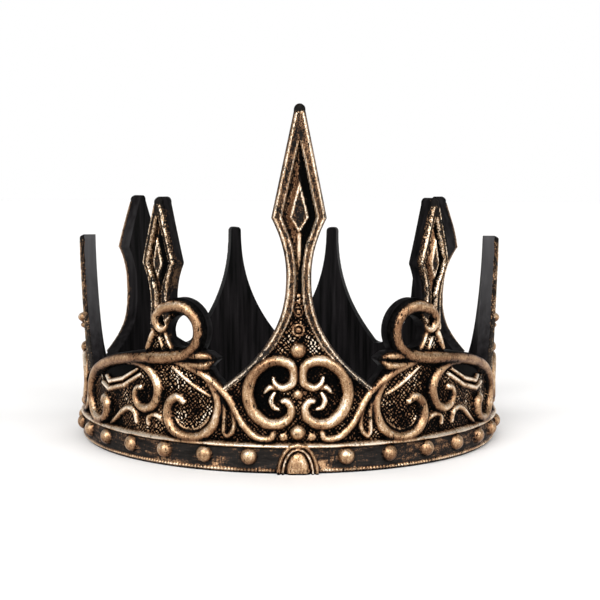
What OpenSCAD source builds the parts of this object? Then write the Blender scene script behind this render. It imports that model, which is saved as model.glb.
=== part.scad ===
// Costume crown, moulded in one piece: a studded band, a scroll-carved wall
// and nine points, with the tallest at the front (towards -Y).
// Heights of the carving are measured up from the top of the band, and places
// along the wall are arc lengths from the middle of each motif.

/* [Ring] */
// Inside diameter of the ring
head_d = 186; // [176:1:200]
// Thickness of the plain wall behind the carving
wall_t = 6; // [5:0.5:8]
// Height of the unbroken wall above the band
wall_h = 20; // [18:0.5:24]

/* [Band] */
// Height of the studded band
band_h = 12.8; // [12:0.2:16]
// How far the band's flat face stands out from the wall
band_out = 1.6; // [1:0.1:3]
// How far the rib along the band's top stands out from the wall
rib_out = 3.2; // [2.2:0.1:4]
// Height of the rib along the band's top
rib_h = 1.8; // [1.2:0.1:2.4]
// Number of studs round the band, besides the front boss
stud_count = 31; // [25:2:35]
// Radius of a stud
stud_r = 3.5; // [2.5:0.1:4]
// Angle from the front boss to the first stud on each side
first_stud_angle = 11.25; // [9:0.25:14]
// Half width of the front boss
boss_w = 8; // [6:0.5:9]

/* [Front spear] */
// Height of the front spear's tip above the band
front_tip_h = 141; // [120:1:160]
// Height of its widest place above the band
front_shoulder_h = 95; // [85:1:105]
// Half width at its widest place
front_shoulder_w = 11.6; // [9:0.2:14]
// Height of its neck above the band
front_neck_h = 71; // [62:1:78]
// Half width of its neck
front_neck_w = 5.3; // [4.5:0.1:7]
// Half width where it spreads into the wall
front_foot_w = 31; // [26:1:34]

/* [Side spears] */
// Angle from the front to the side spears
spear_angle = 36; // [34:0.5:38]
// Angle from the front to the rear spears
rear_spear_angle = 123; // [121:0.5:125]
// Height of a side or rear spear's tip above the band
side_tip_h = 101; // [90:1:112]
// Height of its widest place above the band
side_shoulder_h = 75; // [70:1:80]
// Half width at its widest place
side_shoulder_w = 8.2; // [7:0.2:10]
// Height of its neck above the band
side_neck_h = 59; // [55:1:64]
// Half width of its neck
side_neck_w = 4.3; // [3.8:0.1:5.5]
// Half width of a side spear where it meets the vine
side_foot_w = 10; // [8:0.5:13]
// Height above the band where it meets the vine
side_foot_h = 36; // [33:0.5:40]
// Half width of a rear spear where it spreads into the wall
rear_foot_w = 38; // [32:0.5:42]

/* [Spires] */
// Angle from the front to the spires at the sides
spire_angle = 84; // [82:0.5:86]
// Angle from the front to the spires at the back
rear_spire_angle = 163.5; // [162:0.5:165]
// Height of a spire's tip above the band
spire_tip_h = 84; // [75:1:95]
// Half width of a spire's blunt tip
spire_tip_w = 3; // [2.5:0.1:4]
// Half width where a spire spreads into the wall
spire_foot_w = 28; // [24:0.5:32]

/* [Carving] */
// Height of a rounded scroll for each unit of its half width
roundness = 1.3; // [0.9:0.05:1.6]
// Distance from a spear's edge to the middle of its raised rim
rim_in = 2.2; // [1.8:0.1:2.6]
// Half width of a spear's raised rim
rim_w = 1.5; // [1:0.1:1.8]
// How far a spear's raised rim stands out
rim_rise = 1.4; // [1:0.1:2]
// Share of the front heart's size that the rear spears' hearts have
rear_heart = 0.62; // [0.55:0.01:0.7]
// Share of the front heart's size that the spires' hearts have
spire_heart = 0.75; // [0.65:0.01:0.8]
// Radius of the beads above and below a heart motif
bead_r = 3.1; // [2.4:0.1:3.6]
// Radius of the middle of the side loop, along its tube
loop_r = 10.6; // [10:0.1:11.2]
// Half width of the side loop's tube
loop_w = 2.7; // [2.2:0.1:3]

/* [Hidden] */

wall_r = head_d / 2 + wall_t;
inside_r = head_d / 2;
band_r = wall_r + band_out;
crown_h = band_h + front_tip_h;
// Facets round the ring
ring_fn = 48;
// Depth to which carving is rooted in the wall
root = 1.2;
// Flat steps between two chosen points of a curve
curve_steps = 2;
// Height above the unbroken wall at which the front spear's foot is measured
front_foot_rise = 5;
// How sharply a point's foot and shoulder curve away from its neck
foot_power = 2.4;
rear_foot_power = 6;
shoulder_power = 2;
// Flat steps along a point's curved edges
edge_steps = 4;
// Radius of a spear's tip
tip_r = 2;
// Plain edge of the wall left showing on each side of the loop's tube
loop_edge = 0.3;
// The side loop's middle, from its spear's axis
loop_at = [9.5, 46.8];

// Place on the crown for an arc length, a height above the base and a radius
function wrapped(u, z, r) = let (a = u / wall_r * 180 / PI) [r * sin(a), -r * cos(a), z];

// Straight distance across the wall for an arc length along it
function chord(u) = wall_r * sin(u / wall_r * 180 / PI);

// Smooth curve through chosen points
function between(a, b, c, d, t) =
    (2 * b + (c - a) * t + (2 * a - 5 * b + 4 * c - d) * t * t + (3 * b - a - 3 * c + d) * t * t * t) / 2;
function curve(p) = let (last = len(p) - 1) [
    for (i = [0 : last - 1])
        for (k = [0 : curve_steps - 1])
            between(p[max(i - 1, 0)], p[i], p[i + 1], p[min(i + 2, last)], k / curve_steps),
    p[last]
];

// Points mirrored from left to right, and moved along and up
function flipped(p) = [for (q = p) [-q[0], q[1], q[2]]];
function shrunk(p, share) = [for (q = p) [q[0] * share, q[1] * share, q[2] * sqrt(share)]];

// Half-round section of a scroll: across, as a share of its half width, and up
section = [[-1, 0], [-0.55, 0.92], [0.55, 0.92], [1, 0]];

// A rounded scroll that follows a path of [along, up, half width] on the wall;
// it rises with its width, or by a set amount
module scroll(path, rise = 0, from_r = wall_r) {
    last = len(path) - 1;
    sides = len(section);
    function along(i) = let (d = path[min(i + 1, last)] - path[max(i - 1, 0)])
        [d[0], d[1]] / norm([d[0], d[1]]);
    function height(p, s) = s[1] == 0 ? -root : s[1] * (rise > 0 ? rise : p[2] * roundness);
    points = [
        for (i = [0 : last])
            for (s = section)
                let (p = path[i], across = [along(i)[1], -along(i)[0]] * s[0] * p[2])
                wrapped(p[0] + across[0], band_h + p[1] + across[1], from_r + height(p, s))
    ];
    polyhedron(points, concat(
        [[for (k = [0 : sides - 1]) k]],
        [for (i = [0 : last - 1]) for (k = [0 : sides - 1])
            let (a = i * sides + k, b = i * sides + (k + 1) % sides)
            each [[a, a + sides, b], [b, a + sides, b + sides]]],
        [[for (k = [sides - 1 : -1 : 0]) last * sides + k]]
    ));
}

// A low dome standing on a face of the given radius
module dome(u, z, r, from_r) {
    a = u / wall_r * 180 / PI;
    translate([0, 0, z]) rotate([0, 0, a]) translate([0, -from_r, 0]) rotate([90, 0, 0])
        hull() {
            translate([0, 0, -root]) cylinder(r = r * 1.1, h = root / 2, $fn = 8);
            cylinder(r = r * 0.6, h = r * 0.85, $fn = 8);
        }
}

// Right-hand edge of a spear from its foot to its shoulder: [half width, height]
function spear_edge(foot, neck, shoulder, power = foot_power) = concat(
    [for (i = [0 : edge_steps]) let (t = pow(i / edge_steps, 1.5))
        [neck[0] + (foot[0] - neck[0]) * pow(1 - t, power), foot[1] + (neck[1] - foot[1]) * t]],
    [for (i = [1 : edge_steps]) let (t = i / edge_steps)
        [neck[0] + (shoulder[0] - neck[0]) * pow(t, shoulder_power), neck[1] + (shoulder[1] - neck[1]) * t]]
);

front_edge = spear_edge(
    [front_foot_w, wall_h + front_foot_rise], [front_neck_w, front_neck_h],
    [front_shoulder_w, front_shoulder_h]
);
side_edge = spear_edge(
    [side_foot_w, side_foot_h], [side_neck_w, side_neck_h], [side_shoulder_w, side_shoulder_h]
);
rear_edge = spear_edge(
    [rear_foot_w, wall_h], [side_neck_w, side_neck_h], [side_shoulder_w, side_shoulder_h], rear_foot_power
);
spire_edge = [for (i = [0 : 2 * edge_steps]) let (t = i / (2 * edge_steps))
    [spire_tip_w + (spire_foot_w - spire_tip_w) * pow(1 - t, foot_power),
        wall_h + (spire_tip_h - wall_h) * t]];

// Round tip of a spear, from right to left
function round_tip(tip_h) = [for (a = [10 : 40 : 170]) [tip_r * cos(a), tip_h - tip_r + tip_r * sin(a)]];

// Flat outline of a point, from its right-hand edge and its tip
module point_outline(edge, tip = []) {
    translate([0, band_h]) polygon(concat(
        [[chord(edge[0][0]), -1]],
        [for (p = edge) [chord(p[0]), p[1]]],
        tip,
        [for (i = [len(edge) - 1 : -1 : 0]) [-chord(edge[i][0]), edge[i][1]]],
        [[-chord(edge[0][0]), -1]]
    ));
}

// Top of the wall under the vine beside a side spear, towards the crown's side
shoulder_line = [[9, 38], [-5, 36.5], [-17, 35], [-30, 32.8], [-42, 29.4], [-52, 25], [-58.5, 19]];

module shoulder_outline() {
    translate([0, band_h]) polygon(concat(
        [[chord(9 - shoulder_mid), -1]],
        [for (p = shoulder_line) [chord(p[0] - shoulder_mid), p[1]]],
        [[chord(-58.5 - shoulder_mid), -1]]
    ));
}
// Arc length from the spear's axis at which the shoulder is cut square
shoulder_mid = -20;

// Spear, loop and leaf beside it, as one flat outline
module side_outline() {
    difference() {
        union() {
            point_outline(side_edge, round_tip(side_tip_h));
            translate([chord(loop_at[0]), band_h + loop_at[1]])
                circle(r = loop_r + loop_w + loop_edge, $fn = 20);
            translate([0, band_h]) polygon([for (p = leaf_line) [chord(p[0]), p[1]]]);
        }
        difference() {
            translate([chord(loop_at[0]), band_h + loop_at[1]])
                circle(r = loop_r - loop_w - loop_edge, $fn = 16);
            point_outline(side_edge, round_tip(side_tip_h));
        }
    }
}
// Edge of the wall from the loop over the leaf's tip and down to the front
leaf_line = [
    [-9, 20], [-9, 37], [14, 37.6], [20, 38.2], [24, 37.8],
    [28.4, 35.1], [24.4, 31.4], [26.6, 28], [32, 22.6], [32, 10]
];

// The wall of a side spear's panel
module side_panel() {
    through_wall(0) side_outline();
    through_wall(shoulder_mid / wall_r * 180 / PI) shoulder_outline();
}

// Turns a flat outline out through the wall, square to it at an angle
module through_wall(angle) {
    rotate([0, 0, angle]) rotate([90, 0, 0]) translate([0, 0, inside_r * 0.7])
        linear_extrude(height = inside_r) children();
}

module blank() {
    rotate([0, 0, 180 / ring_fn]) rotate_extrude($fn = ring_fn) polygon([
        [inside_r, 0],
        [band_r, 0],
        [band_r, band_h - rib_h - 0.6],
        [wall_r + rib_out, band_h - rib_h],
        [wall_r + rib_out, band_h - 0.4],
        [wall_r, band_h],
        [wall_r, crown_h + 5],
        [inside_r, crown_h + 5]
    ]);
}

// The wall with its points, still plain
module wall() {
    intersection() {
        blank();
        union() {
            cylinder(r = 2 * wall_r, h = band_h + wall_h, $fn = 4);
            through_wall(0) point_outline(front_edge, round_tip(front_tip_h));
            for (side = [-1, 1]) {
                for (a = [spire_angle, rear_spire_angle]) through_wall(side * a) point_outline(spire_edge);
                through_wall(side * rear_spear_angle) point_outline(rear_edge, round_tip(side_tip_h));
            }
            both_side_spears() side_panel();
        }
    }
}

// Puts what is drawn for the left side spear on the right one too
module both_side_spears() {
    for (side = [0, 1]) mirror([side, 0, 0]) rotate([0, 0, -spear_angle]) children();
}

// Raised rims along both edges of a spear, joined at its tip
module rims(edge, tip_h) {
    shoulder = edge[len(edge) - 1];
    // Height at which the two rims meet
    meet_h = tip_h - (tip_h - shoulder[1]) * rim_in * 1.9 / shoulder[0];
    line = concat(
        [for (p = edge) if (p[1] > edge[0][1] + 3) [p[0] - rim_in, p[1], rim_w]],
        [[rim_in, meet_h, rim_w]]
    );
    scroll(line, rim_rise);
    scroll(flipped(line), rim_rise);
    scroll([[0, meet_h - 3.3, rim_in + 1.2], [0, tip_h - 3.5, 1.2]], rim_rise + 0.3);
}

// Faceted lozenge in the middle of a spear's head
module lozenge(shoulder_h, w, up, down) {
    line = [[0, shoulder_h - down, w * 0.2], [0, shoulder_h, w], [0, shoulder_h + up, w * 0.15]];
    scroll(line, rim_rise * 1.2);
}

// One half of the heart: a C scroll with both ends curled in
heart_scroll = [
    [10.8, 28, 0.6], [6.2, 23.7, 1.5], [2, 29.6, 1.7], [8.8, 35.3, 2.1], [18.6, 30, 2.3],
    [20.8, 17, 2.3], [13.2, 8.6, 2.2], [3.6, 11.2, 1.8], [6, 18.2, 1.1]
];

// Flourish that hooks up to the heart's foot
flourish = [[35, 23.4, 1.5], [25.4, 13.6, 1.7], [16.6, 3.2, 1.8], [10, 6.4, 1.3]];

module heart(share = 1) {
    for (line = [heart_scroll, flourish]) {
        half = curve(shrunk(line, share));
        scroll(half);
        scroll(flipped(half));
    }
    for (up = [39.5, 4.8]) dome(0, band_h + up * share, bead_r * sqrt(share), wall_r);
}

// The vine beside a side spear, from its curled end up to the loop
vine = concat(
    [[-38.6, 10.6, 2.2], [-43.6, 1, 2.1], [-55.8, 6, 1.9], [-56.8, 17.4, 1.9]],
    [[-42, 27.3, 2.1], [-20, 32.4, 2.6], [6, 34.2, 2.7]],
    [for (a = [-55 : 55 : 110]) [loop_at[0] + loop_r * cos(a), loop_at[1] + loop_r * sin(a), loop_w]],
    [[-1.6, 52, 2.3], [0, 46.8, 1.6]]
);
inner_scroll = [
    [-19.5, 31.6, 1.2], [-6.5, 28.2, 1.9], [-1.7, 19.6, 2],
    [-7, 11.5, 1.9], [-14, 13.6, 1.6], [-12, 20.4, 1.1]
];
lobe = [
    [8.5, 34.3, 1.3], [22, 25.8, 2], [27.7, 13.3, 2], [19.4, 2.1, 2.3],
    [6.7, 4.8, 2.4], [5.2, 15.2, 2], [12, 16.5, 1.4]
];
petal = [[30.2, 19.3, 0.6], [31.2, 7, 0.9], [34, 3.8, 0.9], [34.2, 13.8, 0.7]];
low_arch = [[-34.6, 1.1, 1], [-24, 8.6, 1.2], [-17, 9.5, 1.2], [-14.3, 5, 1.1]];
small_arch = [[-8, 4.7, 0.9], [-5.8, 8.6, 1], [2.6, 5.8, 0.8]];
leaf = [[9, 34, 0.8], [19, 34.4, 2.3], [27, 35, 0.5]];

module vine_panel() {
    for (line = [vine, inner_scroll, lobe, petal, low_arch, small_arch, leaf])
        scroll(curve(line));
    rims(side_edge, side_tip_h);
    lozenge(side_shoulder_h, 2.6, 10, 7);
}

// Studs round the band, with the front boss where the first would be
module band_carving() {
    step = (360 - 2 * first_stud_angle) / (stud_count - 1);
    for (i = [0 : stud_count - 1])
        rotate([0, 0, first_stud_angle + i * step]) dome(0, band_h / 2 + 1, stud_r, band_r);
    arch = [for (a = [0 : 22.5 : 180]) [boss_w * cos(a), (band_h - 1) * sin(a) - band_h, 1]];
    intersection() {
        union() {
            scroll(arch, 2.2, band_r);
            scroll([
                [0, -band_h, boss_w * 0.6],
                [0, -band_h * 0.6, boss_w * 0.55],
                [0, -band_h * 0.4, boss_w * 0.35]
            ], 2.8, band_r);
        }
        cylinder(r = 2 * wall_r, h = 2 * band_h);
    }
}

module crown() {
    color("#3a2c1e") {
        wall();
        band_carving();
        heart();
        rims(front_edge, front_tip_h);
        lozenge(front_shoulder_h, 3.7, 15, 10);
        both_side_spears() vine_panel();
        for (side = [-1, 1]) {
            for (a = [spire_angle, rear_spire_angle]) rotate([0, 0, side * a]) {
                heart(spire_heart);
                dome(0, band_h + 44, bead_r * 0.8, wall_r);
            }
            rotate([0, 0, side * rear_spear_angle]) {
                heart(rear_heart);
                rims(rear_edge, side_tip_h);
                lozenge(side_shoulder_h, 2.6, 10, 7);
            }
        }
    }
}

crown();
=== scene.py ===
import math

import bpy
import numpy as np
from mathutils import Matrix, Vector


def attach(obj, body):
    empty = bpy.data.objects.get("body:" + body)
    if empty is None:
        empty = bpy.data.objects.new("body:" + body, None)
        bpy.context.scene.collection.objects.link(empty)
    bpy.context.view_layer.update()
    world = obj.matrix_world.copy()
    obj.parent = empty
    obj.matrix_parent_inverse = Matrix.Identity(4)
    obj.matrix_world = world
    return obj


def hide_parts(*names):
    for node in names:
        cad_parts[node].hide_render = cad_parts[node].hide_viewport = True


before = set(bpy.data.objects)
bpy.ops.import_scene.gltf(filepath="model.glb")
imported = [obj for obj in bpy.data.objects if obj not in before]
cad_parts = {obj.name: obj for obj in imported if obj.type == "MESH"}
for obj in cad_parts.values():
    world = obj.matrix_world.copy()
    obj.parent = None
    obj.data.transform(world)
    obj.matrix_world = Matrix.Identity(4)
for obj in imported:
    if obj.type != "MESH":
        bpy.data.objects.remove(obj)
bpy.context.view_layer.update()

# The blank: the crown is one moulding in black foam, a ring with a wall 6 mm thick. Its outer face is drawn
# here unrolled flat, as a mould's pattern is: arc length from the middle of the front runs along the sheet
# and height above the base runs up it, in millimetres. Carving is an outline or a relief on the sheet.
WALL_R = 100.0
BAND_H = 12.8
FRONT_TIP = 142.0
SHEET_STEP = 0.5
SHEET_SPARE = 1.5
round_length = 2 * math.pi * WALL_R
sheet_top = BAND_H + FRONT_TIP + SHEET_SPARE
columns = int(round_length / SHEET_STEP)
rows = int((sheet_top + SHEET_STEP) / SHEET_STEP)
height = np.linspace(0, sheet_top, rows)
above_band = height - BAND_H


def near(angle, reach):
    """Columns of the sheet within reach of an angle, and their arc length from it."""
    middle = math.radians(angle) * WALL_R
    span = int(reach / SHEET_STEP)
    first = int(round((middle / round_length + 0.5) * columns))
    picked = np.arange(first - span, first + span + 1)
    return picked % columns, (picked / columns - 0.5) * round_length - middle


# The points: a tall spear at the front, a spear with an open loop at its foot to each side, a broad spear to
# each side at the rear, and four plain spires. The mould's outline leaves them standing on the wall, in the
# same foam. A place on an edge is its height above the band and its half width there.
WALL_H = 20.0
POINT_REACH = 60
TIP_R = 2.4
TIP_MEETS_EDGE = 0.94
FOOT_RUNS_ON = 1.15
FRONT_FOOT = (25.0, 31.0)
FRONT_NECK = (71.0, 5.3)
FRONT_SHOULDER = (95.0, 11.6)
FRONT_FLARE = 2.4
SPEAR_ANGLE = 36.0
SIDE_FOOT = (36.0, 10.0)
SIDE_NECK = (59.0, 5.0)
SIDE_SHOULDER = (75.0, 9.1)
SIDE_TIP = 103.3
SIDE_FLARE = 2.4
REAR_SPEAR_ANGLE = 126.2
REAR_FOOT = (20.0, 33.0)
REAR_NECK = (58.0, 7.0)
REAR_NECK_BEHIND = (58.0, 11.0)
REAR_SHOULDER = (75.0, 13.0)
REAR_TIP = 102.0
REAR_FLARE = 3.8
SPIRE_ANGLES = (84.0, 163.5)
SPIRE_FOOT = (20.0, 28.0)
SPIRE_TIP = 84.0
SPIRE_TIP_W = 3.0
SPIRE_CORNER_R = 2.2
SPIRE_FLARE = 2.4


def spear_edge(foot, neck, shoulder, tip, flare):
    """Half width of a spear at every height of the sheet, from its foot to its tip."""
    h = above_band
    to_foot = np.clip((neck[0] - h) / (neck[0] - foot[0]), 0, FOOT_RUNS_ON)
    to_head = np.clip((h - neck[0]) / (shoulder[0] - neck[0]), 0, 1)
    width = neck[1] + (foot[1] - neck[1]) * to_foot ** flare + (shoulder[1] - neck[1]) * to_head ** 2
    tip_w = TIP_R * TIP_MEETS_EDGE
    taper = (tip - TIP_R - h) / (tip - TIP_R - shoulder[0])
    head = tip_w + (shoulder[1] - tip_w) * taper
    return np.where(h > shoulder[0], head, width)


def outside_of(arc, width, top, corner_r=0.0):
    """Distance outside an upright shape of the given half widths, negative within it."""
    slope = np.gradient(width, above_band)
    across = (np.abs(arc)[:, None] - width[None, :]) / np.sqrt(1 + slope ** 2)[None, :]
    over = np.broadcast_to((above_band - top)[None, :], across.shape)
    corner = np.hypot(np.maximum(across + corner_r, 0), np.maximum(over + corner_r, 0)) - corner_r
    return np.where((across > -corner_r) & (over > -corner_r), corner, np.maximum(across, over))


def outside_spear(arc, width, tip):
    """The same for a spear, with a ball at its tip."""
    ball = np.hypot(arc[:, None], above_band[None, :] - (tip - TIP_R)) - TIP_R
    return np.minimum(outside_of(arc, width, tip - TIP_R), ball)


def outside_polygon(arc, up, corners):
    """The same for a closed outline of straight runs."""
    x, z = np.broadcast_arrays(arc[:, None], up[None, :])
    best = np.full(x.shape, np.inf)
    inside = np.zeros(x.shape, bool)
    for (ax, az), (bx, bz) in zip(corners, corners[1:] + corners[:1]):
        dx, dz = bx - ax, bz - az
        share = np.clip(((x - ax) * dx + (z - az) * dz) / (dx * dx + dz * dz), 0, 1)
        best = np.minimum(best, np.hypot(x - ax - share * dx, z - az - share * dz))
        if dz != 0:
            crosses = (az > z) != (bz > z)
            inside ^= crosses & (x < ax + (z - az) / dz * dx)
    return np.where(inside, -best, best)


front_edge = spear_edge(FRONT_FOOT, FRONT_NECK, FRONT_SHOULDER, FRONT_TIP, FRONT_FLARE)
side_edge = spear_edge(SIDE_FOOT, SIDE_NECK, SIDE_SHOULDER, SIDE_TIP, SIDE_FLARE)
rear_edge = spear_edge(REAR_FOOT, REAR_NECK, REAR_SHOULDER, REAR_TIP, REAR_FLARE)
rear_edge_behind = spear_edge(REAR_FOOT, REAR_NECK_BEHIND, REAR_SHOULDER, REAR_TIP, REAR_FLARE)
to_spire_foot = np.clip((SPIRE_TIP - above_band) / (SPIRE_TIP - SPIRE_FOOT[0]), 0, 1)
spire_edge = SPIRE_TIP_W + (SPIRE_FOOT[1] - SPIRE_TIP_W) * to_spire_foot ** SPIRE_FLARE

# Beside a side spear the wall rises in a shoulder that carries the vine, and ends in a leaf towards the
# front. Places are arc length from the spear's axis, positive towards the front, and height above the band.
PANEL_REACH = 75
SHOULDER_TOP = [(9, 37.6), (-5, 36.8), (-17, 35.6), (-30, 33.2), (-42, 29.6), (-52, 25), (-58.5, 19),
                (-58.5, 5), (9, 5)]
LEAF_TOP = [(-9, 20), (-9, 37), (14, 37.6), (20, 38.2), (24, 37.8), (28.4, 35.1), (24.4, 31.4), (26.6, 28),
            (32, 22.6), (32, 10)]
LOOP_AT = (9.5, 46.8)
LOOP_R = 10.6
LOOP_W = 2.7
LOOP_EDGE = 0.3
HOLE_AT = (10.8, 45.6)
HOLE_R = 7.3

beyond = np.repeat((above_band - WALL_H)[None, :], columns, 0)


def add_wall(cols, shape):
    """Adds a shape to the outline of the wall, kept as the distance beyond its cut edge."""
    beyond[cols] = np.minimum(beyond[cols], shape)


cols, arc = near(0, POINT_REACH)
add_wall(cols, outside_spear(arc, front_edge, FRONT_TIP))
for side in (-1, 1):
    cols, arc = near(side * SPEAR_ANGLE, PANEL_REACH)
    arc = -side * arc
    panel = np.maximum(outside_spear(arc, side_edge, SIDE_TIP), (WALL_H - above_band)[None, :])
    for outline in (SHOULDER_TOP, LEAF_TOP):
        panel = np.minimum(panel, outside_polygon(arc, above_band, outline))
    from_loop = np.hypot(arc[:, None] - LOOP_AT[0], above_band[None, :] - LOOP_AT[1])
    from_hole = np.hypot(arc[:, None] - HOLE_AT[0], above_band[None, :] - HOLE_AT[1])
    panel = np.minimum(panel, from_loop - LOOP_R - LOOP_W - LOOP_EDGE)
    hole = np.maximum(from_loop - LOOP_R + LOOP_W, from_hole - HOLE_R)
    add_wall(cols, np.maximum(panel, -hole))
    cols, arc = near(side * REAR_SPEAR_ANGLE, POINT_REACH)
    behind = (side * arc > 0)[:, None]
    add_wall(cols, np.where(behind, outside_spear(arc, rear_edge_behind, REAR_TIP),
                            outside_spear(arc, rear_edge, REAR_TIP)))
    for angle in SPIRE_ANGLES:
        cols, arc = near(side * angle, POINT_REACH)
        add_wall(cols, outside_of(arc, spire_edge, SPIRE_TIP, SPIRE_CORNER_R))
from_edge = -beyond

# The band: a flat hoop at the foot, with a rib along its top, fine beading along its base, 31 domed studs
# and a triple-arched boss at the front. It is cast in one with the wall and stands 1.6 mm out from it.
# A relief is a height over the ground between the scrolls.
BAND_OUT = 1.6
BASE_ROUND = 0.9
RIB_AT = 12.0
RIB_W = 1.15
RIB_OUT = 3.2
RIB_LAP = 0.2
RIB_ROUND = 0.4
TRIM_AT = 1.6
TRIM_W = 0.9
TRIM_OUT = 2.2
NOWHERE = -9.0

in_band = height < RIB_AT + RIB_LAP
relief = np.zeros((columns, rows))
relief[:, in_band] = (BAND_OUT - np.clip(BASE_ROUND - height, 0, 1))[None, in_band]
for middle, half, out in ((RIB_AT, RIB_W, RIB_OUT), (TRIM_AT, TRIM_W, TRIM_OUT)):
    across = np.clip(1 - ((height - middle) / half) ** 2, 0, 1)
    relief = np.maximum(relief, (out * across ** RIB_ROUND * (across > 0))[None, :])

# Two more sheets go with the relief: where a face is flat, and where the bronze covers fully.
flat_faced = np.zeros((columns, rows))
fully_painted = np.zeros((columns, rows))


def raise_to(cols, picked, lift):
    """Raises a part of the sheet to a relief, where that is higher."""
    place = np.ix_(cols, np.flatnonzero(picked))
    flat_faced[place] = np.where(lift > relief[place], 0, flat_faced[place])
    relief[place] = np.maximum(relief[place], lift)


def cover_fully(cols, picked, share):
    """Gives a part of the sheet its full coat of bronze."""
    place = np.ix_(cols, np.flatnonzero(picked))
    fully_painted[place] = np.maximum(fully_painted[place], np.clip(share, 0, 1))


BEAD_COAT = 2.2


def bead(angle, arc_at, up, radius, base=0.0, fullness=0.85):
    """A round bead standing on a face of the given relief; up is above the crown's base."""
    cols, arc = near(angle, abs(arc_at) + radius + 2)
    picked = np.abs(height - up) < radius + 1
    share = ((arc[:, None] - arc_at) ** 2 + (height[picked][None, :] - up) ** 2) / radius ** 2
    dome = np.sqrt(np.clip(1 - share, 0, 1))
    raise_to(cols, picked, np.where(share < 1, base + dome * radius * fullness, NOWHERE))
    cover_fully(cols, picked, BEAD_COAT * (1 - share))


STUDS = 31
FIRST_STUD = 11.8
STUD_R = 3.7
STUD_AT = 7.4
STUD_SUNK = 0.2
STUD_FULLNESS = 1.02
for stud in range(STUDS):
    stud_angle = FIRST_STUD + stud * (360 - 2 * FIRST_STUD) / (STUDS - 1)
    bead(stud_angle, 0, STUD_AT, STUD_R, BAND_OUT - STUD_SUNK, STUD_FULLNESS)

# The boss: an outer and an inner arch round a dome. Widths are measured in from its outline.
BOSS_TOP = 13.5
BOSS_W = 8.9
BOSS_FOOT = -6
BOSS_REACH = 14
BOSS_FACE = 0.1
OUTER_ARCH_IN = 0.8
OUTER_ARCH_W = 0.85
OUTER_ARCH_OUT = 1.75
INNER_ARCH_IN = 2.65
INNER_ARCH_W = 0.75
INNER_ARCH_OUT = 1.7
DOME_IN = 3.7
DOME_RUN = 4.2
DOME_ROUND = 0.45
DOME_OUT = 2.3
DOME_COAT = 1.5
cols, arc = near(0, BOSS_REACH)
picked = height < BOSS_TOP + 1
boss_side = [(BOSS_W * (1 - t ** 2) ** 0.5, BOSS_TOP * t) for t in np.linspace(0, 1, 15)]
boss_other_side = [(-w, z) for w, z in boss_side[-2::-1]]
boss_outline = [(BOSS_W, BOSS_FOOT)] + boss_side + boss_other_side + [(-BOSS_W, BOSS_FOOT)]
boss_in = -outside_polygon(arc, height[picked], boss_outline)
outer_arch = np.clip(1 - ((boss_in - OUTER_ARCH_IN) / OUTER_ARCH_W) ** 2, 0, 1) ** 0.5
inner_arch = np.clip(1 - ((boss_in - INNER_ARCH_IN) / INNER_ARCH_W) ** 2, 0, 1) ** 0.5
boss_dome = np.clip((boss_in - DOME_IN) / DOME_RUN, 0, 1) ** DOME_ROUND
boss = np.where(boss_in > 0, BAND_OUT + BOSS_FACE, NOWHERE)
for form, out in ((outer_arch, OUTER_ARCH_OUT), (inner_arch, INNER_ARCH_OUT), (boss_dome, DOME_OUT)):
    boss = np.maximum(boss, np.where(form > 0, BAND_OUT + out * form, NOWHERE))
raise_to(cols, picked, boss)
cover_fully(cols, picked, np.maximum(boss_dome * DOME_COAT, outer_arch))

# The scrollwork: rounded tendrils modelled on the wall and cast with it, each a path of arc length, height
# above the band and half width. Under the front spear, the rear spears and the spires stands a heart of two
# C scrolls with beads between them, over a ground that is sunk a little deeper.
HEART = [(10.8, 28, 0.7), (9.4, 25, 1.4), (6.2, 23.7, 1.8), (2.4, 25.8, 2.1), (1.7, 30.1, 2.2),
         (3.7, 33.9, 2.5), (8.8, 35.3, 2.6), (14, 33.8, 2.8), (19, 29.3, 2.9), (21.4, 21.8, 2.9),
         (19.5, 14, 2.9), (14.3, 9, 2.8), (8.4, 8.2, 2.6), (4, 10.8, 2.3), (2.9, 15, 2), (4.6, 17.8, 1.8),
         (6.3, 18, 1.3)]
SPRIG = [(10, 21.6, 0.7), (11.4, 18.4, 1.3), (10.2, 15.4, 1.2), (8, 14.6, 0.7)]
THORN = [(9.2, 23.1, 0.6), (12, 23.8, 1.3), (14.4, 21.3, 0.5)]
FLOURISH = [(37.5, 25.9, 2.1), (33.6, 22.8, 2.1), (29.2, 17.8, 2), (26.4, 12.6, 1.9), (23.2, 7.4, 1.9),
            (18.8, 3.2, 2), (14.8, 1.7, 2.1), (11.4, 2.2, 2), (10.1, 5.4, 1.6)]
HEART_REACH = 30
HEART_INSET = 0.5
HEART_SUNK = -0.7
HEART_PEBBLES = 0.36
HEART_BEADS = ((39.5, 3.4), (21, 2.2), (4.8, 3.4))
FOOT_BEAD_AT = (6, 2.8)
FOOT_BEAD_R = 1.9
FOOT_BEAD_FULLNESS = 0.6
REAR_HEART = 0.62
SPIRE_HEART = 0.75
SCROLL_MARGIN = 4
SCROLL_ROUND = 0.72
UNCARVED = 0.2
sunk_pebbles = np.zeros((columns, rows))


def shrunk(path, share):
    """A path drawn smaller, with its tendril kept stout."""
    return [(x * share, z * share, half * share ** 0.5) for x, z, half in path]


def smooth_path(points, steps=7):
    """A smooth run through chosen points."""
    p = np.array([points[0], *points, points[-1]], float)
    t = np.linspace(0, 1, steps, endpoint=False)[:, None]
    runs = []
    for a, b, c, d in zip(p, p[1:], p[2:], p[3:]):
        runs.append((2 * b + (c - a) * t + (2 * a - 5 * b + 4 * c - d) * t ** 2
                     + (3 * b - a - 3 * c + d) * t ** 3) / 2)
    return np.vstack(runs + [p[-1:]])


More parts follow.
